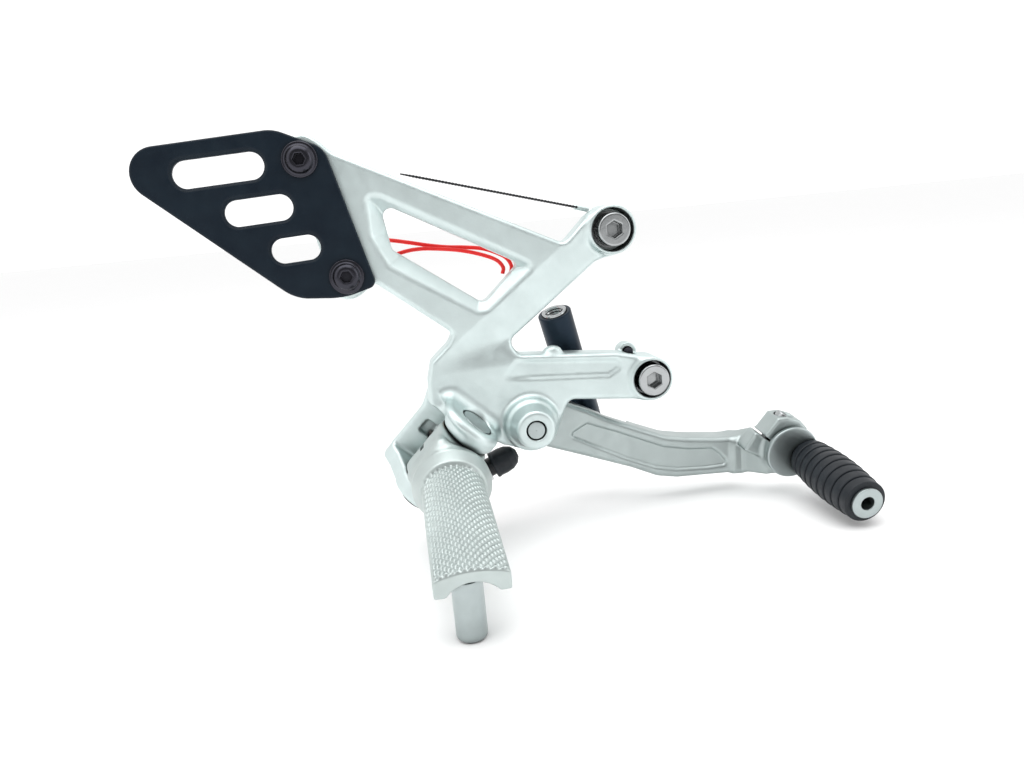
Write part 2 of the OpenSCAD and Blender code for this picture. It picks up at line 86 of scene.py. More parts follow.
PEG = placed((-36, -20.3, -9), (7.4, "X"))
HINGE_X = Vector((0.675708, -0.190809, 0.712047))
HINGE_Z = Vector((-0.72537, 0, 0.68835))
HINGE = Matrix((HINGE_X, HINGE_Z.cross(HINGE_X), HINGE_Z)).transposed().to_4x4()
HINGE.translation = PEG.translation
TOE = placed((111.5, -17, -27), (7.5, "X"))
CLAMP = TOE @ Matrix.Rotation(math.radians(41.3), 4, "Y")
TOE_PEG = TOE @ Matrix.Translation((7.3, 0, -3.3))
BALL = (29.7, 14.8, -8.5)
SOCKET = placed(BALL, (15.3, "X"), (-13.9, "Y"))
SWITCH_LUG = placed((-15.8, -5, -19), (-21, "Y"))
SWITCH = SWITCH_LUG @ Matrix.Rotation(math.radians(90), 4, "Y")
TIE_SPUR = placed((27.5, -3, 84.2), (105.4, "Y"))

# ---- distance fields ----


def local(m, x, y, z):
    """Coordinates of a point in a local frame."""
    r, o = m.to_3x3(), m.translation
    dx, dy, dz = x - o.x, y - o.y, z - o.z
    return [r[0][i] * dx + r[1][i] * dy + r[2][i] * dz for i in range(3)]


def meet(a, b, r):
    """Intersection of two fields whose shared edge is rounded to r."""
    p, q = np.maximum(a + r, 0), np.maximum(b + r, 0)
    return np.minimum(np.maximum(a, b), -r) + np.sqrt(p * p + q * q)


def join(a, b, r):
    """Union of two fields with a fillet of r."""
    return -meet(-a, -b, r)


def cut(a, b, r):
    """Field a less field b, with the new edge rounded to r."""
    return meet(a, -b, r)


def bar(along, across, start, end, radius, r):
    """A cylinder between two stations of along, with rounded rims."""
    half = (end - start) / 2
    return meet(across - radius, abs(along - (start + end) / 2) - half, r)


def block(p, low, high, r):
    """A box with rounded edges."""
    q = [abs(c - (a + b) / 2) - (b - a) / 2 + r for c, a, b in zip(p, low, high)]
    out = sum(np.maximum(c, 0) ** 2 for c in q)
    return np.sqrt(out) + np.minimum(np.maximum(np.maximum(q[0], q[1]), q[2]), 0) - r


def hexagon(u, v, across_flats, turn=0.0):
    """A hexagonal prism's section."""
    d = -1e9
    for k in range(3):
        a = math.radians(60 * k + turn)
        d = np.maximum(d, abs(u * math.cos(a) + v * math.sin(a)))
    return d - across_flats / 2


def rounded(points, r_out, r_in=None, steps=5):
    """A closed outline with its convex corners rounded to r_out and the others to r_in.

    A corner's third number, where it has one, is its own radius.
    """
    r_in = r_out if r_in is None else r_in
    area = sum(
        p[0] * q[1] - q[0] * p[1] for p, q in zip(points, points[1:] + points[:1])
    )
    out = []
    for i, p in enumerate(points):
        a, b = points[i - 1], points[(i + 1) % len(points)]
        own = p[2] if len(p) == 3 else None
        p, a, b = (Vector(t[:2]) for t in (p, a, b))
        u, v = (a - p).normalized(), (b - p).normalized()
        half = math.acos(max(-1, min(1, u.dot(v)))) / 2
        convex = (p - a).cross(b - p) * area > 0
        r = own or (r_out if convex else r_in)
        reach = min(r / math.tan(half), (a - p).length * 0.49, (b - p).length * 0.49)
        if reach < 1e-4 or half > 1.55:
            out.append(tuple(p))
            continue
        s, e = p + u * reach, p + v * reach
        for k in range(steps + 1):
            t = k / steps
            w = (1 - t) ** 2, 2 * t * (1 - t) * math.sin(half), t * t
            out.append(tuple((s * w[0] + p * w[1] + e * w[2]) / sum(w)))
    return out


def area_in(x, z, outline):
    """Signed distance to a closed outline, negative inside."""
    best, inside = None, None
    for (ax, az), (bx, bz) in zip(outline, outline[1:] + outline[:1]):
        ex, ez = bx - ax, bz - az
        wx, wz = x - ax, z - az
        t = np.clip((wx * ex + wz * ez) / (ex * ex + ez * ez + 1e-12), 0, 1)
        d = (wx - ex * t) ** 2 + (wz - ez * t) ** 2
        cross = ((az <= z) != (bz <= z)) & (
            (wx - wz * ex / (ez if ez else 1e-9)) < 0
        )
        best = d if best is None else np.minimum(best, d)
        inside = cross if inside is None else inside ^ cross
    return np.where(inside, -1.0, 1.0) * np.sqrt(best)


def ramp(t, low, high):
    """0 below low, 1 above high, smooth between."""
    t = np.clip((t - low) / (high - low), 0, 1)
    return t * t * (3 - 2 * t)


# ---- meshes ----


def surface_of(field, low, high, step):
    """Vertices and quads of a field's zero surface, one vertex for each crossed cell."""
    step *= FINE
    axes = [np.arange(a - 2.5 * step, b + 3 * step, step) for a, b in zip(low, high)]
    x, y, z = np.meshgrid(*axes, indexing="ij", sparse=True)
    shape = tuple(len(a) for a in axes)
    values = np.broadcast_to(field(x, y, z), shape)
    solid = values < 0
    if any(np.take(solid, (0, -1), axis).any() for axis in range(3)):
        raise ValueError(f"{field.__name__} is cut off by its grid")
    cells = tuple(n - 1 for n in shape)
    corner = [(i, j, k) for i in (0, 1) for j in (0, 1) for k in (0, 1)]
    count = np.zeros(cells, np.int8)
    for i, j, k in corner:
        count += solid[i : i + cells[0], j : j + cells[1], k : k + cells[2]]
    active = (count > 0) & (count < 8)
    at = np.argwhere(active)
    number = np.full(cells, -1, np.int64)
    number[active] = np.arange(len(at))
    total, hits = np.zeros((len(at), 3)), np.zeros(len(at))
    for c in corner:
        for axis in range(3):
            if c[axis]:
                continue
            d = list(c)
            d[axis] = 1
            va = values[tuple((at + c).T)]
            vb = values[tuple((at + d).T)]
            crossed = (va < 0) != (vb < 0)
            t = np.where(crossed, va / np.where(crossed, va - vb, 1), 0)
            p = np.tile(np.array(c, float), (len(at), 1))
            p[:, axis] = t
            total += p * crossed[:, None]
            hits += crossed
    corner_at = np.array([a[0] for a in axes])
    verts = corner_at + (at + total / hits[:, None]) * step
    quads = []
    for axis in range(3):
        u, v = (axis + 1) % 3, (axis + 2) % 3
        first = [slice(1, -1)] * 3
        second = [slice(1, -1)] * 3
        first[axis], second[axis] = slice(0, -1), slice(1, None)
        a, b = solid[tuple(first)], solid[tuple(second)]
        for outward in (True, False):
            edge = np.argwhere((a & ~b) if outward else (~a & b))
            edge[:, u] += 1
            edge[:, v] += 1
            ring = []
            for du, dv in ((-1, -1), (0, -1), (0, 0), (-1, 0)):
                cell = edge.copy()
                cell[:, u] += du
                cell[:, v] += dv
                ring.append(number[tuple(cell.T)])
            quads.append(np.stack(ring if outward else ring[::-1], 1))
    # two Newton steps bring each vertex onto the surface
    h = 0.04
    for _ in range(2):
        grad = np.empty_like(verts)
        for axis in range(3):
            side = np.zeros(3)
            side[axis] = h
            grad[:, axis] = field(*(verts + side).T) - field(*(verts - side).T)
        grad /= 2 * h
        size = np.maximum((grad**2).sum(1), 0.05)
        move = -(field(*verts.T) / size)[:, None] * grad
        length = np.linalg.norm(move, axis=1)
        verts += move * np.minimum(1, 0.5 * step / np.maximum(length, 1e-9))[:, None]
    return verts, np.concatenate(quads)


def in_metres(verts):
    """Pivot millimetres to the row frame in metres."""
    return (np.asarray(verts) - np.array(PIVOT)) / 1000


def add_piece(obj, body, node, slot_name, material):
    """Links a piece, gives it its finish, and lets it stand for a CAD node on a body."""
    bpy.context.scene.collection.objects.link(obj)
    obj.data.materials.append(material)
    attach(obj, body)
    if node:
        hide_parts(node)
    return obj


def mesh_object(name, verts, faces):
    """A smooth-shaded mesh object, not yet linked."""
    mesh = bpy.data.meshes.new(name)
    mesh.from_pydata(np.asarray(verts).tolist(), [], [list(map(int, f)) for f in faces])
    mesh.validate()
    mesh.shade_smooth()
    return bpy.data.objects.new(name, mesh)


def cast(name, field, low, high, step, *where):
    """A piece from a distance field."""
    verts, faces = surface_of(field, low, high, step)
    return add_piece(mesh_object(name, in_metres(verts), faces), *where)


def turned(name, m, profile, *where, sides=96):
    """A piece turned on the local Z axis from a closed profile of (radius, height)."""
    verts, faces = [], []
    n = len(profile)
    for s in range(sides):
        a = 2 * math.pi * s / sides
        verts += [
            m @ Vector((r * math.cos(a), r * math.sin(a), h)) for r, h in profile
        ]
    for s in range(sides):
        t = (s + 1) % sides
        for i in range(n):
            j = (i + 1) % n
            if profile[i][0] < 1e-6 and profile[j][0] < 1e-6:
                continue
            faces.append((s * n + i, s * n + j, t * n + j, t * n + i))
    obj = mesh_object(name, in_metres([tuple(v) for v in verts]), faces)
    modifier = obj.modifiers.new("weld", "WELD")
    modifier.merge_threshold = 1e-6
    normals = obj.modifiers.new("split", "EDGE_SPLIT")
    normals.split_angle = math.radians(50)
    return add_piece(obj, *where)


def wire_curve(name, points, radius):
    """A round wire along points in the row frame, in metres."""
    data = bpy.data.curves.new(name, "CURVE")
    data.dimensions = "3D"
    spline = data.splines.new("POLY")
    spline.points.add(len(points) - 1)
    for p, q in zip(spline.points, points):
        p.co = (*q, 1)
    data.bevel_depth = radius
    data.bevel_resolution = 5
    data.use_fill_caps = True
    return bpy.data.objects.new(name, data)


def smooth_route(points, steps=6):
    """Points along a Catmull-Rom curve through the given ones."""
    p = [Vector(q) for q in points]
    p = [p[0] * 2 - p[1]] + p + [p[-1] * 2 - p[-2]]
    out = []
    for i in range(1, len(p) - 2):
        for k in range(steps):
            t = k / steps
            a, b, c, d = p[i - 1 : i + 3]
            out.append(
                0.5
                * (
                    2 * b
                    + (c - a) * t
                    + (2 * a - 5 * b + 4 * c - d) * t * t
                    + (3 * b - a - 3 * c + d) * t**3
                )
            )
    out.append(p[-2])
    return out


# ---- camera ----

camera = bpy.data.objects.new("camera", bpy.data.cameras.new("camera"))
bpy.context.scene.collection.objects.link(camera)
camera.data.lens = 27.42
camera.data.sensor_width = 36
camera.data.clip_start = 0.01
right = Vector((0.98406, -0.1505, -0.09475))
up = Vector((0.12289, 0.1903, 0.974))
camera.matrix_world = Matrix.Translation((-0.08605, -0.3203, 0.00765)) @ (
    Matrix((right, up, right.cross(up))).transposed().to_4x4()
)
bpy.context.scene.camera = camera

# ---- materials ----


class Nodes:
    """A material with a Principled shader and the few nodes that give it its detail."""

    def __init__(self, name, **inputs):
        self.material = bpy.data.materials.new(name)
        self.material.use_nodes = True
        self.tree = self.material.node_tree
        self.shader = self.tree.nodes["Principled BSDF"]
        for key, value in inputs.items():
            self.shader.inputs[key.replace("_", " ")].default_value = value
        self.coords = self.tree.nodes.new("ShaderNodeTexCoord").outputs["Object"]
        self.height = None

    def stretched(self, scale):
        """Object coordinates scaled by a different amount along each axis."""
        node = self.tree.nodes.new("ShaderNodeMapping")
        node.inputs["Scale"].default_value = scale
        self.tree.links.new(self.coords, node.inputs["Vector"])
        return node.outputs["Vector"]

    def noise(self, size, detail=3.0, rough=0.5, coords=None):
        """Noise whose cells are about size metres across."""
        node = self.tree.nodes.new("ShaderNodeTexNoise")
        node.inputs["Scale"].default_value = 1 / size
        node.inputs["Detail"].default_value = detail
        node.inputs["Roughness"].default_value = rough
        self.tree.links.new(coords or self.coords, node.inputs["Vector"])
        return node.outputs["Fac"]

    def colours(self, source, stops):
        """Base colour from a ramp of (position, colour) stops."""
        node = self.tree.nodes.new("ShaderNodeValToRGB")
        ramp_ = node.color_ramp
        while len(ramp_.elements) < len(stops):
            ramp_.elements.new(0.5)
        for element, (at, colour) in zip(ramp_.elements, stops):
            element.position = at
            element.color = (*colour, 1)
        self.tree.links.new(source, node.inputs["Fac"])
        self.tree.links.new(node.outputs["Color"], self.shader.inputs["Base Color"])

    def paint_crevice_shade(self, reach, depth=0.35):
        """Darkens the colour where nearby surfaces close in: painted shade in crevices and
        recesses.
        """
        shade_ = self.tree.nodes.new("ShaderNodeAmbientOcclusion")
        shade_.samples = 6
        shade_.inputs["Distance"].default_value = reach
        curve = self.tree.nodes.new("ShaderNodeMapRange")
        curve.inputs["From Min"].default_value = 0.15
        curve.inputs["From Max"].default_value = 0.75
        curve.inputs["To Min"].default_value = depth
        curve.inputs["To Max"].default_value = 1.0
        self.tree.links.new(shade_.outputs["AO"], curve.inputs["Value"])
        old = self.shader.inputs["Base Color"].links[0].from_socket
        mix = self.tree.nodes.new("ShaderNodeMix")
        mix.data_type = "RGBA"
        mix.blend_type = "MULTIPLY"
        mix.inputs["Factor"].default_value = 1.0
        self.tree.links.new(old, mix.inputs["A"])
        self.tree.links.new(curve.outputs["Result"], mix.inputs["B"])
        self.tree.links.new(mix.outputs["Result"], self.shader.inputs["Base Color"])

    def roughness(self, source, low, high):
        """Roughness that follows the middle of a noise's range."""
        node = self.tree.nodes.new("ShaderNodeMapRange")
        node.inputs["From Min"].default_value = 0.3
        node.inputs["From Max"].default_value = 0.7
        node.inputs["To Min"].default_value = low
        node.inputs["To Max"].default_value = high
        self.tree.links.new(source, node.inputs["Value"])
        self.tree.links.new(node.outputs["Result"], self.shader.inputs["Roughness"])

    def bump(self, source, depth, strength=1.0):
        """Adds a bump of the given depth in metres on top of earlier ones."""
        node = self.tree.nodes.new("ShaderNodeBump")
        node.inputs["Distance"].default_value = depth
        node.inputs["Strength"].default_value = strength
        self.tree.links.new(source, node.inputs["Height"])
        if self.height is not None:
            self.tree.links.new(self.height, node.inputs["Normal"])
        self.height = node.outputs["Normal"]
        self.tree.links.new(self.height, self.shader.inputs["Normal"])


def shade(colour, factor):
    """A colour made lighter or darker."""
    return tuple(c * factor for c in colour)


def cast_metal(name, colour, rough, grain=0.0007, depth=0.00003, mottle=0.05):
    """Satin cast alloy: soft mottling over fine grain, and painted shade in crevices."""
    m = Nodes(name, Metallic=1.0)
    broad = m.noise(0.012, 4)
    m.colours(
        broad, [(0.3, shade(colour, 1 - mottle)), (0.7, shade(colour, 1 + mottle))]
    )
    m.roughness(m.noise(0.004, 5), rough - 0.05, rough + 0.06)
    m.bump(m.noise(grain, 3, 0.6), depth)
    m.bump(m.noise(0.006, 2), depth * 3, 0.5)
    # painted shade: the colour is darkened in crevices and recesses
    m.paint_crevice_shade(0.004, 0.3)
    return m.material


def machined_metal(name, colour, rough, axis_scale=(1, 14, 1), depth=0.000012):
    """Turned or plated steel: fine lines one way, faint clouding, and faint painted shade
    in crevices.
    """
    m = Nodes(name, Metallic=1.0)
    m.colours(m.noise(0.005, 4), [(0.3, shade(colour, 0.93)), (0.7, colour)])
    lines = m.noise(0.002, 4, 0.6, m.stretched(axis_scale))
    m.roughness(lines, rough - 0.05, rough + 0.07)
    m.bump(lines, depth)
    # painted shade: the colour is darkened a little in crevices and recesses
    m.paint_crevice_shade(0.004, 0.12)
    return m.material


def coated(name, colour, light, rough, grain=0.0004, depth=0.00002, gloss=0.5):
    """Paint, plastic or rubber: a dull body colour, fine grain and paler wear."""
    m = Nodes(name, Metallic=0.0, Specular_IOR_Level=gloss)
    m.colours(m.noise(0.009, 5), [(0.32, colour), (0.72, light)])
    m.roughness(m.noise(0.003, 4), rough - 0.06, rough + 0.08)
    m.bump(m.noise(grain, 2, 0.6), depth)
    return m.material


MATERIALS = {
    "cast_alloy": cast_metal("cast_alloy", (0.60, 0.68, 0.675), 0.44),
    "lever_alloy": cast_metal("lever_alloy", (0.40, 0.45, 0.445), 0.4),
    "peg_alloy": cast_metal("peg_alloy", (0.47, 0.525, 0.515), 0.45, mottle=0.04),
    "black_satin": coated(
        "black_satin", (0.004, 0.009, 0.016), (0.007, 0.014, 0.022), 0.4, gloss=0.15
    ),
    "black_zinc": machined_metal("black_zinc", (0.045, 0.045, 0.055), 0.22),
    "black_zinc_body": machined_metal("black_zinc_body", (0.022, 0.032, 0.045), 0.38),
    "bright_steel": machined_metal("bright_steel", (0.39, 0.405, 0.41), 0.12),
    "satin_steel": machined_metal("satin_steel", (0.40, 0.45, 0.45), 0.34),
    "dark_spring_steel": machined_metal("dark_spring_steel", (0.05, 0.055, 0.06), 0.35),
    "spring_steel": machined_metal("spring_steel", (0.45, 0.36, 0.34), 0.3),
    "bronze": machined_metal("bronze", (0.30, 0.27, 0.22), 0.4),
    "black_rubber": coated(
        "black_rubber", (0.007, 0.010, 0.014), (0.013, 0.017, 0.022), 0.5, gloss=0.35
    ),
    "black_plastic": coated(
        "black_plastic", (0.006, 0.007, 0.009), (0.012, 0.013, 0.016), 0.38, gloss=0.4
    ),
    "red_insulation": coated(
        "red_insulation", (0.80, 0.012, 0.012), (0.92, 0.025, 0.02), 0.4, gloss=0.4
    ),
}

node_slot = {s["node"]: s["material_slot"] for s in frame["record"]["subparts"]}
for node_name, node_object in frame["nodes"].items():
    node_object.data.materials.clear()
    node_object.data.materials.append(MATERIALS[node_slot[node_name]])


def finish_of(node):
    """The body, node, slot and material that let a piece stand for a node."""
    bodies = frame["record"]["behaviour"]["bodies"]
    body = next(name for name, nodes in bodies.items() if node in nodes)
    return body, node, node_slot[node], MATERIALS[node_slot[node]]


# ---- wires of the switch, as round curves ----

WIRE_ROUTES = {
    "switch_wire_long": [
        (-29.6, -3.8, -24.5), (-32, -1.8, -24.5), (-32.6, 0.4, -20), (-30.4, 0.5, -13),
        (-27, 0.5, -5), (-24, 0.3, 5), (-22.5, 0, 15), (-22, 0, 25), (-23, -0.3, 35),
        (-27, -0.6, 44), (-33, -0.6, 51), (-41, -0.6, 58), (-49, -0.6, 64.5),
        (-55.5, -0.6, 69.5), (-58, -0.6, 74), (-56, -0.6, 77.6), (-51.5, -0.6, 78.6),
        (-46, -0.6, 77.8), (-39, -0.6, 76.2), (-32, -0.6, 74.5), (-25, -0.6, 73.2),
        (-18, -0.6, 72.4), (-11, -0.6, 71.2), (-5.5, -0.6, 69), (-1.5, -0.8, 66.4),
        (0.2, -1.1, 63.2), (-0.3, -1.5, 60.5),
    ],
    "switch_wire_short": [
        (-29.6, -6.2, -24.5), (-32.5, -5.5, -27.5), (-36, -1.5, -30.5), (-39, 1.4, -27),
        (-38.5, 1.4, -20), (-33.5, 0.9, -10), (-30, 0.9, 0), (-27.5, 0.5, 12),
        (-25.5, 0, 22), (-23.5, -1.4, 32), (-26, -2.6, 42), (-33.5, -3, 50.5),
        (-43, -3, 57.5), (-50, -3, 62.5), (-53.5, -3, 67), (-50.5, -3, 70.8),
        (-43, -3, 73), (-36, -3, 73.6), (-28, -3, 72.8), (-20, -3, 71.4), (-12, -3, 69),
        (-6, -3, 66.2), (-3.5, -3, 63), (-4, -3, 60.4),
    ],
}


def wire(node):
    """One of the switch's wires, as long as its route."""
    route = [in_metres(tuple(p)) for p in smooth_route(WIRE_ROUTES[node])]
    obj = wire_curve(node + "_cord", route, WIRE_D / 2)
    add_piece(obj, *finish_of(node))


for wire_node in WIRE_ROUTES:
    wire(wire_node)

# ---- bracket casting ----

BRACKET = rounded(
    [(-82, 116), (-74, 119), (-64, 112), (20, 70.5), (32, 82), (45, 66), (32.5, 62),
     (-5.5, 34), (-2, 28.5), (38, 24.6), (54, 20.5), (60, 8), (50, 3.5), (17, 7.5),
     (10, -6), (0, -11), (-12, -8), (-24, 2), (-40, 12), (-39.5, 22), (-37.5, 29.5),
     (-30, 36), (-27.5, 40), (-56, 63.5), (-66, 58), (-71.5, 66)],
    3, 3.5,
)
WINDOW = rounded([(-49.8, 92.8), (-47, 74.5), (-14, 50.3), (1, 63.8), (-1, 66)], 3)
WINDOW_RIM = rounded(
    [(-54.6, 95.5), (-54.4, 80), (-49, 68.4), (-17, 47.2), (-12.5, 47.2), (6.5, 62),
     (5.5, 64.5), (-49, 95)],
    4,
)
ARM_PANEL = rounded(
    [(-12.6, 18.5), (-4, 27.4), (39.9, 22.6), (39.5, 17.5), (34.3, 14.5), (30.1, 15)],
    2.5,
)
RIDGE_FROM, RIDGE_TO = (20.9, 71.3), (-25.9, 37.0)


WALL_B, WALL_TOP = 17.0, 18.8  # the clevis's back wall, from the hinge
GUSSET = rounded(
    [(-2, 0), (-2, 11.2), (7, 15.5), (11, WALL_TOP), (WALL_B, WALL_TOP), (WALL_B, 0)], 2
)


def clevis(x, y, z):
    """The two ears that hold the foot peg, and the wall between them."""
    a, b, c = local(HINGE, x, y, z)

    def ear(height):
        lobe = np.where(b < 0, np.hypot(b, height), abs(height)) - EAR_R
        return meet(lobe, b - WALL_B, 1)

    # the outer half of the near ear is drawn out upwards, clear of the folded peg
    head = meet(
        ear(c - np.clip(c, 0, 3.2 * ramp(a, 15.8, 18.3))), abs(a - 16.25) - 4.25, 3.2
    )
    far = np.minimum(ear(c), area_in(b, c, GUSSET))
    tail = meet(far, abs(a + 15.75) - 3.75, 1.6)
    wall = block((a, b, c), (-13, SLOT_HALF, -EAR_R), (13, WALL_B, WALL_TOP), 1.2)
    return join(np.minimum(head, tail), wall, 1.5)


def clevis_openings(x, y, z):
    """The peg's slot, the pin's hole and head recess, and the spring leg's window."""
    a, b, c = p = local(HINGE, x, y, z)
    off_pin = np.hypot(b, c)
    slot_ = block(p, (-SLOT_HALF, -40, -25.5), (SLOT_HALF, SLOT_HALF, 34.5), 1.0)
    recess = bar(a, off_pin, 18, 40, 6.95, 0.05)
    hole = block(p, (-1.8, 9, 7.2), (4.6, 16.2, 13.9), 1.4)
    return np.minimum(np.minimum(slot_, recess), np.minimum(hole, off_pin - PIN_HOLE_R))


def bracket_field(x, y, z):
    """The whole casting: plate, window, bosses, lugs and clevis, then its bores."""
    outline = area_in(x, z, BRACKET)
    for px, pz in GUARD_SCREWS:
        outline = join(outline, np.hypot(x - px, z - pz) - 8.5, 3)
    # the diagonal beam falls away below its ridge
    rx, rz = RIDGE_FROM
    dx, dz = RIDGE_TO[0] - rx, RIDGE_TO[1] - rz
    below = ((x - rx) * -dz + (z - rz) * dx) / math.hypot(dx, dz)
    fall = 0.17 * np.clip(below, 0, 13) * ramp(z, 24, 36)
    sunk = 1.0 * ramp(-area_in(x, z, ARM_PANEL), -0.3, 2.4) * ramp(x, -13, 4)
    front = FACE_Y + fall + sunk - y
    body = meet(meet(outline, front, 1.9), y - REAR_Y, 0.7)
    # the window, with a bevelled rim
    opening = np.minimum(
        area_in(x, z, WINDOW),
        (area_in(x, z, WINDOW_RIM) + 1.15 * (y - FACE_Y)) / 1.52,
    )
    body = cut(body, opening, 0.9)
    for (px, pz), radius, _ in BOSSES:
        post = bar(y, np.hypot(x - px, z - pz), -17, 0, radius, 1.3)
        body = join(body, post, 2.0)
    # the stub of the casting's gate, in the crotch
    gate = np.sqrt(((x - 12) / 1.5) ** 2 + (y + 12) ** 2 + (z - 27.6) ** 2) - 2.6
    body = join(body, gate, 1.5)
    # pivot boss: a base ring, a shoulder and a nose
    off = np.hypot(x, z)
    ring = bar(y, off, -20, -6, 10.8, 1.4)
    nose = meet(off - (9.6 + (y + 19.5) * 0.21), -29 - y, 1.3)
    nose = np.maximum(nose, y + 8)
    body = join(join(body, ring, 2.6), nose, 1.6)
    off_loom = np.hypot(x - LOOM_SCREW[0], z - LOOM_SCREW[1])
    body = join(body, bar(y, off_loom, -7, -1, 4, 0.6), 1)
    # the switch's lug, and a web from it to the clevis
    s = local(SWITCH_LUG, x, y, z)
    off_switch = np.hypot(s[1], s[2])
    body = join(body, bar(s[0], off_switch, -8, -5, 7.2, 0.7), 1.2)
    body = join(body, block((x, y, z), (-27.2, -8, -15), (-23, -1, 5), 1), 1.2)
    body = np.maximum(body, 4.1 - np.maximum(off_switch, abs(s[0] + 7) - 9 + 4.1))
    body = join(body, clevis(x, y, z), 4.5)
    # a spur for the strap
    sx, sy, sz = local(TIE_SPUR, x, y, z)
    body = join(body, bar(sz, np.hypot(sx, sy), 0, 12, 1, 0.4), 0.5)
    body = cut(body, clevis_openings(x, y, z), 0.9)
    # bores: frame bolts, guard screws, pivot pin and loom screw
    for (px, pz), _, bore in BOSSES:
        off_bolt = np.hypot(x - px, z - pz)
        body = cut(body, bar(y, off_bolt, -60, -10, bore, 0.3), 0.8)
        body = np.maximum(body, 4.35 - off_bolt)
    for px, pz in GUARD_SCREWS:
        body = np.maximum(body, 3.1 - np.hypot(x - px, z - pz))
    body = cut(body, off - 4.02, 0.25)
    return np.maximum(body, 2.1 - np.maximum(off_loom, (-12 - y) + 2.1))


cast(
    "bracket_casting", bracket_field, (-86, -37, -36), (63, 3, 122), 0.5,
    *finish_of("bracket"),
)

# ---- heel guard and its screws ----

GUARD = rounded(
    [(-149, 117.5, 9.4), (-84, 121.4, 14), (-67, 113.6, 8), (-54.2, 62, 3),
     (-67, 58.6, 30), (-84.8, 60.2, 16)],
    8, steps=16,
)
GUARD_SLOTS = [  # middle, length, width
    ((-105, 108.8), 32.4, 9.9), ((-93.1, 93.5), 24.6, 9.5), ((-82, 78.4), 18, 9.2),
]
SLOT_LEAN = math.radians(3)


def guard_field(x, y, z):
    """A flat plate with three slots whose outer edges are bevelled."""
    body = meet(meet(area_in(x, z, GUARD), GUARD_Y - y, 0.9), y - FACE_Y + 0.02, 0.4)
    for (px, pz), length, width in GUARD_SLOTS:
        u = (x - px) * math.cos(SLOT_LEAN) + (z - pz) * math.sin(SLOT_LEAN)
        v = (z - pz) * math.cos(SLOT_LEAN) - (x - px) * math.sin(SLOT_LEAN)
        reach = (length - width) / 2
        slot_ = np.hypot(u - np.clip(u, -reach, reach), v) - width / 2
        bevelled = np.minimum(slot_, (slot_ + (y - GUARD_Y) - 1.1) / 1.414)
        body = cut(body, bevelled, 0.35)
    for px, pz in GUARD_SCREWS:
        body = np.maximum(body, 3.3 - np.hypot(x - px, z - pz))
    return body


cast(
    "heel_guard_plate", guard_field, (-136, -19, 58), (-53, -16, 122), 0.35,
    *finish_of("heel_guard"),
)


def guard_screws_field(x, y, z):
    """Flanged dome screws with hexagon sockets."""
    body = None
    for px, pz in GUARD_SCREWS:
        off = np.hypot(x - px, z - pz)
        flange = bar(y, off, GUARD_Y - 1.3, GUARD_Y - 0.05, 6.5, 0.45)
        dome = meet(off - (5.4 + 0.67 * (y + 20.2)), GUARD_Y - 3.3 - y, 1.0)
        dome = np.maximum(dome, y - GUARD_Y)
        screw = join(flange, dome, 0.5)
        screw = np.minimum(screw, bar(y, off, -19.1, -7, 2.95, 0.3))
        socket = np.maximum(hexagon(x - px, z - pz, 4, 30), y + 20.0)
        screw = cut(screw, socket, 0.25)
        body = screw if body is None else np.minimum(body, screw)
    return body


cast(
    "heel_guard_screw_pair", guard_screws_field, (-83, -22.3, 59), (-58, -7, 117), 0.24,
    *finish_of("heel_guard_screws"),
)

# ---- frame bolts ----


def frame_bolts_field(x, y, z):
    """Socket head screws with knurled heads and a thread relief."""
    body = None
    for (px, pz), _, _ in BOSSES:
        off, angle = np.hypot(x - px, z - pz), np.arctan2(z - pz, x - px)
        knurled = off - 6.5 + 0.11 * (1 + np.cos(54 * angle)) * ramp(y, -18.9, -18.2)
        head = meet(meet(knurled, -19.6 - y, 0.7), y + 11.6, 0.3)
        screw = join(head, bar(y, off, -13, 24, 4, 0.6), 0.4)
        relief = np.maximum(abs(y + 1) - 1, 3.5 - off)
        screw = np.maximum(screw, -relief)
        socket = np.maximum(hexagon(x - px, z - pz, 6), y + 15.6)
        screw = cut(screw, socket, 0.35)
        body = screw if body is None else np.minimum(body, screw)
    return body


def frame_bolts():
    """Both bolts in one piece, each meshed in a box of its own."""
    verts, faces, base = [], [], 0
    for (px, pz), _, _ in BOSSES:
        low, high = (px - 6.6, -19.6, pz - 6.6), (px + 6.6, 24, pz + 6.6)
        v, f = surface_of(frame_bolts_field, low, high, 0.22)
        verts.append(v)
        faces.append(f + base)
        base += len(v)
    obj = mesh_object(
        "frame_bolt_pair", in_metres(np.concatenate(verts)), np.concatenate(faces)
    )
    add_piece(obj, *finish_of("frame_bolts"))


frame_bolts()

# ---- foot peg ----

BELL = rounded(
    [(0, 12.5), (13, 12.5), (15.2, 14), (15.4, 17), (14.2, 20), (12.9, 23), (0, 23)], 1.6
)
TREAD_ROOT, TREAD_TIP = -22.0, -84.0  # along the peg
TREAD_HALF = 12.0
CROWN_ROOT, CROWN_TIP = 8.4, 2.1  # rise of the tread's arch at each end
KNURL_ACROSS, KNURL_ALONG, KNURL_H = 2.15, 3.15, 0.8


def knurl(u, v, top):
    """Height of the diamond points between two sets of slanting grooves on the tread."""
    row = (v + 0.02 * u * u) / KNURL_ALONG
    column = u / KNURL_ACROSS
    weak, strong = (1 - abs(((row + side * column) % 1) * 2 - 1) for side in (1, -1))
    point = np.minimum(np.minimum(0.3 + 1.2 * weak, 1.5 * strong), 1)
    on = ramp(11.7 - abs(u), 0, 0.3) * ramp(v - TREAD_TIP, 0.2, 0.8)
    return KNURL_H * point * on * ramp(top, -1.3, -0.8)


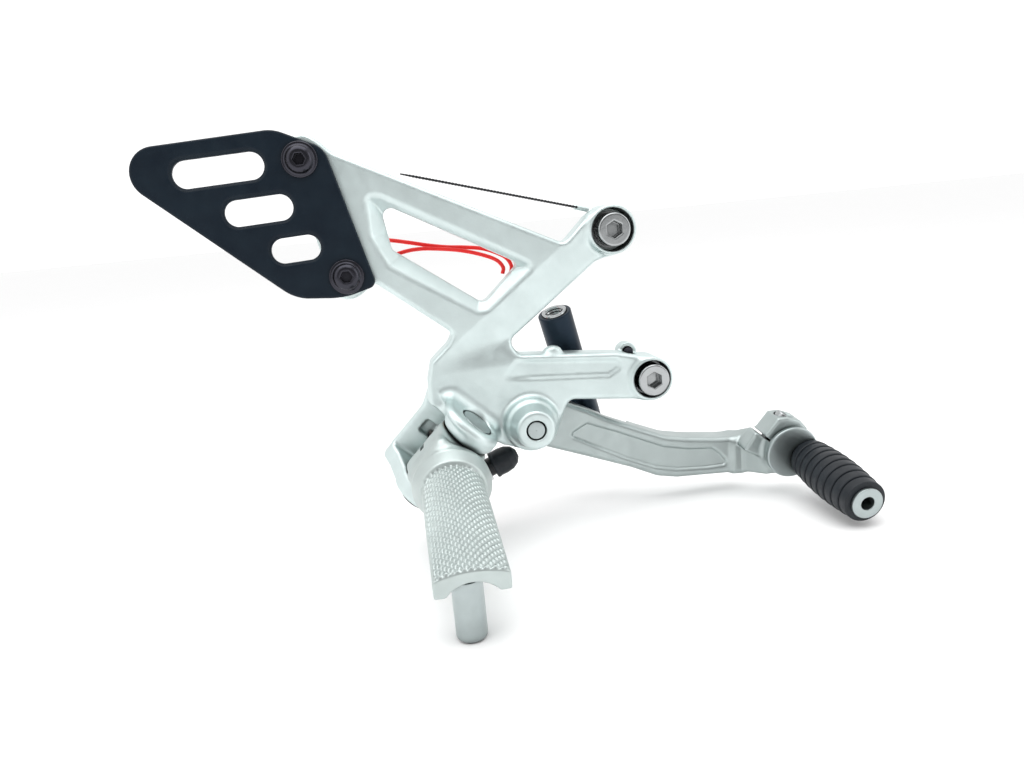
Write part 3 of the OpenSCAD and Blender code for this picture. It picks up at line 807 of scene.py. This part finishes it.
def foot_peg_field(x, y, z):
    """Barrel on the pin, neck, bell and arched tread, less the spring's pocket."""
    a, b, c = at_hinge = local(HINGE, x, y, z)
    off_pin = np.hypot(b, c)
    barrel = meet(off_pin - 11, abs(a) - 11.25, 0.8)
    ball = np.sqrt(a * a + (b + 4) ** 2 + c * c) - 19
    neck = meet(block(at_hinge, (-11.25, -15, -11), (11.25, 0, 11), 3), ball, 2)
    u, v, w = local(PEG, x, y, z)
    u = u - 0.5
    bell = area_in(np.hypot(u, w + 4), -v, BELL)
    bell = meet(bell, -13.5 - w, 1)
    t = np.clip((TREAD_ROOT - v) / (TREAD_ROOT - TREAD_TIP), 0, 1)
    crown = CROWN_ROOT + (CROWN_TIP - CROWN_ROOT) * t
    radius = (TREAD_HALF**2 + crown * crown) / (2 * crown)
    top = w + 1.6 - crown + radius - np.sqrt(np.maximum(radius**2 - u * u, 1))
    surface = (top - knurl(u, v, w)) * 0.85
    tread = meet(surface, abs(u) - TREAD_HALF, 0.7)
    tread = meet(tread, -7.8 - w, 0.8)
    tread = meet(tread, abs(v + 53) - 31, 0.6)
    body = join(join(barrel, neck, 2.5), bell, 3.0)
    body = join(body, tread, 0.8)
    under = np.maximum(np.hypot(u, w + 14.1) - 10.5, v + 30)
    body = cut(body, under, 0.5)
    # room for the coils, and a slit that their leg sweeps through
    coils = bar(a, off_pin, -4, 4, 8.2, 0.1)
    behind = block(at_hinge, (-4, 0, -8.2), (4, 20, 8.2), 0.1)
    slit = block(at_hinge, (-1.7, -5, 3.4), (0.5, 15, 13.4), 0.1)
    body = cut(body, np.minimum(np.minimum(coils, behind), slit), 0.3)
    body = cut(body, off_pin - PIN_HOLE_R, 0.4)
    hole = np.maximum(np.hypot(u + 1.3, v + 76) - 3, w + 2)
    return np.maximum(body, -hole)


cast(
    "foot_peg_casting", foot_peg_field, (-56, -106, -34), (-16, -6, 9), 0.26,
    *finish_of("foot_peg"),
)
turned(
    "peg_feeler_pin",
    PEG @ Matrix.Translation((-0.8, -76, 0)),
    rounded(
        [(0, -27.8), (4.3, -27.8), (5.1, -27.0), (5.1, -5.7), (2.95, -5.7),
         (2.95, -2.2), (0, -2.2)],
        0.3,
    ),
    *finish_of("peg_feeler"),
)
HINGE_BAR = HINGE @ Matrix.Rotation(math.radians(90), 4, "Y")
turned(
    "peg_hinge_pin_turned",
    HINGE_BAR,
    rounded(
        [(0, -22.7), (4, -22.7), (4, -21.8), (3.4, -21.8), (3.4, -20.8), (4, -20.8),
         (4, 18.02), (6.4, 18.02), (6.4, 20.3), (0, 20.3)],
        0.35,
    ),
    *finish_of("peg_hinge_pin"),
)


def spring_route():
    """Close coils on the hinge's axis, and a straight leg into the back wall."""
    turns, per_turn, coil_r = 3.5, 32, 6.4
    last = int(turns * per_turn)
    points = []
    for i in range(last + 1):
        angle = 2 * math.pi * (i / per_turn - turns) + math.pi / 2
        along = 2.9 - 5.6 * i / last
        points.append((along, coil_r * math.cos(angle), coil_r * math.sin(angle)))
    leg = [(-2.2, 2.2, 6.3), (-0.9, 4.4, 5.7), (-0.6, 6.2, 5.8), (-0.6, 15.6, 8.8)]
    return [in_metres(tuple(HINGE @ Vector(p))) for p in points + leg]


add_piece(
    wire_curve("peg_return_spring_coil", spring_route(), 0.0008),
    *finish_of("peg_return_spring"),
)

# ---- the lever's pivot pin ----

turned(
    "pivot_pin_turned",
    Matrix.Rotation(math.radians(90), 4, "X"),
    rounded(
        [(0, -9.5), (4, -9.5), (4, -8.4), (3.4, -8.4), (3.4, -7.4), (4, -7.4), (4, 26.5),
         (3.45, 26.8), (3.45, 28.7), (0, 28.7)],
        0.3,
    ),
    *finish_of("pivot_pin"),
)

# ---- lever ----

LEVER = rounded(
    [(0, 10), (19, 3.5), (27, -0.5), (34.5, -5), (49.6, -12), (61, -17), (70.5, -19),
     (85, -21), (97, -22), (97, -39), (91, -38.1), (64.7, -36.6), (56, -34.8),
     (44, -29), (24, -21), (5, -13.6), (-4, -8)],
    14, 18, 9,
)
LEVER_PANEL = rounded(
    [(16.2, -10.6), (25.8, -5.7), (39.5, -11.6), (59.2, -20.8), (70.5, -23.5),
     (81.5, -24.6), (85.1, -27.9), (90, -34.2), (78.7, -34.2), (64.9, -33.1),
     (54.5, -30.5), (41.3, -24.4), (29.3, -17.8)],
    2,
)
CLAMP_BLOCK = rounded(
    [(-4, 9), (0, 12), (5, 12.7), (10.7, 10.8), (14.2, 7.8), (13.9, -1.7), (-4, -1.7)],
    1,
)
CLAMP_LOWER = rounded([(16.4, -2.8), (15.5, -12), (2, -9), (2, -1.6), (12, -1.6)], 1)
CLAMP_SCREW = (-9.8, 6.0)  # the pinch screw's axis in the clamp's frame


def lever_field(x, y, z):
    """The forged arm, and at its end the toe peg's split clamp."""
    outline = np.minimum(area_in(x, z, LEVER), np.hypot(x, z) - 10.5)
    arm = meet(meet(outline, -5.2 - y, 2.4), y - 6.8, 1)
    panel = area_in(x, z, LEVER_PANEL)
    arm = cut(arm, np.maximum((panel + 0.9 * (y + 5.2)) / 1.35, y + 4.1), 0.6)
    # the end steps outward to the clamp, and stops at the clamp's split
    k = local(CLAMP, x, y, z)
    t = np.clip((x - 94) / 8, 0, 1)
    step = np.maximum(-5.2 - 9.8 * t - y, y - 6.8 + 12.7 * t) * 0.7
    above = (z + 21.7 - 0.62 * (x - 94)) * 0.85
    step = meet(step, np.maximum(-37.9 + 0.4 * t - z, above), 1.6)
    step = meet(step, np.maximum(abs(x - 98.5) - 7.5, k[2] + 1.5), 0.6)
    body = join(arm, step, 3.0)
    e = local(TOE, x, y, z)
    off = np.hypot(e[0], e[2])
    eye = bar(e[1], off, 0.1, 12.1, 10.8, 1)
    clamp = meet(area_in(-k[0], k[2], CLAMP_BLOCK), abs(k[1] - 6.1) - 5.7, 1.4)
    lower = meet(area_in(-k[0], k[2], CLAMP_LOWER), abs(k[1] - 7.6) - 4.2, 1.2)
    body = join(body, lower, 1.0)
    body = join(body, join(eye, clamp, 0.8), 2.2)
    body = cut(body, off - 7.02, 0.4)
    split = block(k, (-30, -3, -2.3), (0, 15, -1.4), 0.1)
    body = cut(body, split, 0.3)
    off_screw = np.hypot(k[0] - CLAMP_SCREW[0], k[1] - CLAMP_SCREW[1])
    body = np.maximum(body, -np.maximum(off_screw - 2.1, abs(k[2] - 4) - 8.6))
    body = cut(body, np.maximum(off_screw - 3.7, 7.8 - k[2]), 0.4)
    # a rebate behind for the ball stud, its hole, and the bush's bore
    rebate = block((x, y, z), (13.5, 1.8, -30), (46, 20, 10), 1)
    body = cut(body, rebate, 0.6)
    off_stud = np.hypot(x - BALL[0], z - BALL[2])
    body = np.maximum(body, 4.1 - np.maximum(off_stud, 4.1 - (y + 3.2)))
    return cut(body, np.hypot(x, z) - 6, 0.4)


cast(
    "shift_lever_forging", lever_field, (-11, -20, -47), (127, 8, 12), 0.42,
    *finish_of("shift_lever"),
)


def pinch_screw_field(x, y, z):
    """A small socket head screw down through the clamp."""
    k = local(CLAMP, x, y, z)
    u, v = k[0] - CLAMP_SCREW[0], k[1] - CLAMP_SCREW[1]
    off = np.hypot(u, v)
    head = bar(k[2], off, 7.82, 10.82, 3.4, 0.5)
    screw = np.minimum(head, bar(k[2], off, -4.4, 8.5, 2, 0.3))
    return cut(screw, np.maximum(hexagon(u, v, 3), 8.8 - k[2]), 0.2)


screw_at = CLAMP @ Vector((*CLAMP_SCREW, 0.6))
cast(
    "pinch_screw_socket_head",
    pinch_screw_field,
    screw_at - Vector((10.5, 4.5, 10.5)),
    screw_at + Vector((10.5, 4.5, 10.5)),
    0.2,
    *finish_of("pinch_screw"),
)

# ---- toe peg ----

TOE_LEN, TOE_RIBS = 42.0, 9
OUT = Matrix.Rotation(math.radians(90), 4, "X")  # local Z to the frame's -Y


def rubber_profile():
    """A slightly barrelled sleeve whose ribs are parted by narrow grooves."""

    def barrel(t):
        return 8.6 + 1.4 * math.sin(math.pi * t) - 0.3 * t

    pitch = TOE_LEN / TOE_RIBS
    points = [(4.62, 2.52)]
    for i in range(TOE_RIBS):
        for s, drop in ((0.0, 1.2), (0.1, 0.3), (0.5, 0.12), (0.9, 0.0), (0.97, 0.25)):
            points.append((barrel((i + s) / TOE_RIBS) - drop, 2.52 + (i + s) * pitch))
    points += [(6.4, 2.52 + TOE_LEN), (4.62, 2.52 + TOE_LEN)]
    return rounded(points, 0.2, 0.12, 3)


turned(
    "toe_peg_sleeve", TOE_PEG @ OUT, rubber_profile(), *finish_of("toe_peg_rubber")
)


def toe_core():
    """Flange and shank on the clamp's axis, and the peg's core off to its side."""
    body, node, slot_name, material = finish_of("toe_peg_core")
    turned(
        "toe_peg_flange",
        TOE @ OUT,
        rounded([(0, -12), (7, -12), (7, 0), (11.4, 0), (11.4, 2.5), (0, 2.5)], 0.7, 0.1),
        body, node, slot_name, material,
    )
    end = TOE_LEN + 2.55
    turned(
        "toe_peg_end_disc",
        TOE_PEG @ OUT,
        rounded(
            [(2.7, end + 1.6), (6.2, end + 1.6), (6.2, end), (4.6, end), (4.6, 1),
             (2.7, 1)],
            0.35, 0.1,
        ),
        body, None, slot_name, material,
    )


toe_core()

# ---- ball stud and linkage socket ----


def stud_profile():
    """Shank in the lever, hexagon-sized collar, neck and ball, along the stud."""
    points = [(0, -17.9), (4, -17.9), (4, -13), (5.4, -13), (5.4, -8.6), (3.4, -8.6)]
    points.append((3.4, -4.7))
    ball = [math.radians(a) for a in range(-54, 91, 9)]
    points += [(5.8 * math.cos(a), 5.8 * math.sin(a)) for a in ball[:-1]]
    return points + [(0, 5.8)]


turned(
    "ball_stud_turned",
    placed(BALL) @ Matrix.Rotation(math.radians(-90), 4, "X"),
    stud_profile(),
    *finish_of("ball_stud"),
)

turned(
    "linkage_socket_barrel",
    SOCKET,
    rounded(
        [(5.95, -9), (7.1, -9), (7.1, 53.7), (5.3, 53.7), (5.3, 39.7), (3.4, 39.7),
         (3.4, 8), (5.95, 6)],
        0.5, 0.1,
    ),
    *finish_of("linkage_socket"),
)


def insert_profile():
    """A bright collar with a threaded bore."""
    top = 54.5
    points = [(5.28, 39.72), (5.28, top), (4.1, top)]
    pitch, threads = 1.25, 11
    for i in range(threads):
        h = top - 0.7 - i * pitch
        points += [(3.4, h), (3.95, h - pitch / 2)]
    return rounded(points + [(3.4, 39.72)], 0.18, 0.1, 2)


turned("socket_thread_insert", SOCKET, insert_profile(), *finish_of("socket_insert"))

# ---- switch ----

turned(
    "switch_boot_moulded",
    SWITCH,
    rounded(
        [(4.35, -0.6), (5.5, -0.6), (5.8, 0.4), (5.5, 1.2), (5.6, 4), (5.2, 7),
         (3.8, 9.6), (1.6, 11), (0, 11), (0, 7.4), (4.35, 7.4)],
        0.7,
    ),
    *finish_of("switch_boot"),
)

# ---- strap ----

TIE_FROM, TIE_TO = Vector((28.5, -3, 84)), Vector((-36, -3, 101.8))
TOOTH_PITCH = 1.3


def strap_field(x, y, z):
    """A toothed strap that narrows to its tip."""
    along = (TIE_TO - TIE_FROM).normalized()
    s = (x - TIE_FROM.x) * along.x + (z - TIE_FROM.z) * along.z
    n = (z - TIE_FROM.z) * along.x - (x - TIE_FROM.x) * along.z
    length = (TIE_TO - TIE_FROM).length
    taper = np.clip((s - length + 1) / 5.5, 0, 1)
    half = 1.2 - 0.7 * taper
    width = abs(y + 3) - half
    teeth = 0.08 * np.cos(s * 2 * math.pi / TOOTH_PITCH) * (1 - taper)
    thick = abs(n) - 0.42 + 0.15 * taper - teeth
    ends = abs(s - length / 2 - 2) - length / 2 - 2.6
    return meet(meet(width, thick, 0.2), ends, 0.2)


cast(
    "strap_tail", strap_field, (-42, -4.4, 82), (29.5, -1.6, 105), 0.2,
    *finish_of("cable_tie"),
)

# ---- floor and lights ----

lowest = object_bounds()[0].z
FAR = 30.0  # metres, so that the floor's edge stays out of sight
corners = [(-FAR, -FAR), (FAR, -FAR), (FAR, FAR), (-FAR, FAR)]
floor = mesh_object("floor", [(*c, lowest) for c in corners], [(0, 1, 2, 3)])
bpy.context.scene.collection.objects.link(floor)
paper = Nodes("paper", Roughness=0.9, Metallic=0.0)
PALE, PALER = (0.93,) * 3, (0.94,) * 3
paper.colours(paper.noise(0.05, 2), [(0.3, PALE), (0.7, PALER)])
floor.data.materials.append(paper.material)


def softbox(name, place, target, size, watts):
    """A rectangular area light aimed at a target."""
    data = bpy.data.lights.new(name, "AREA")
    data.shape = "RECTANGLE"
    data.size, data.size_y = size
    data.energy = watts
    obj = bpy.data.objects.new(name, data)
    bpy.context.scene.collection.objects.link(obj)
    obj.location = place
    toward = Vector(target) - Vector(place)
    obj.rotation_euler = toward.to_track_quat("-Z", "Y").to_euler()


middle = (-0.04, -0.03, -0.04)
softbox("overhead", (-0.1, -0.2, 0.9), middle, (1.2, 1.0), 7.0)
softbox("left", (-0.8, -0.5, 0.4), middle, (0.7, 0.9), 1.5)
softbox("right", (0.8, -0.4, 0.25), middle, (0.4, 0.8), 1.5)


def studio_world():
    """A white tent, darker on the side that faces the object's outer face."""
    world = bpy.data.worlds.new("studio")
    bpy.context.scene.world = world
    world.use_nodes = True
    nodes, links = world.node_tree.nodes, world.node_tree.links
    split = nodes.new("ShaderNodeSeparateXYZ")
    direction = nodes.new("ShaderNodeTexCoord").outputs["Generated"]
    links.new(direction, split.inputs["Vector"])
    level = nodes.new("ShaderNodeMapRange")
    limits = {"From Min": -0.97, "From Max": 0.0, "To Min": 0.35, "To Max": 1.22}
    for key, value in limits.items():
        level.inputs[key].default_value = value
    links.new(split.outputs["Y"], level.inputs["Value"])
    links.new(level.outputs["Result"], nodes["Background"].inputs["Strength"])
    nodes["Background"].inputs["Color"].default_value = (1, 1, 1, 1)


studio_world()
bpy.context.scene.view_settings.view_transform = "Standard"
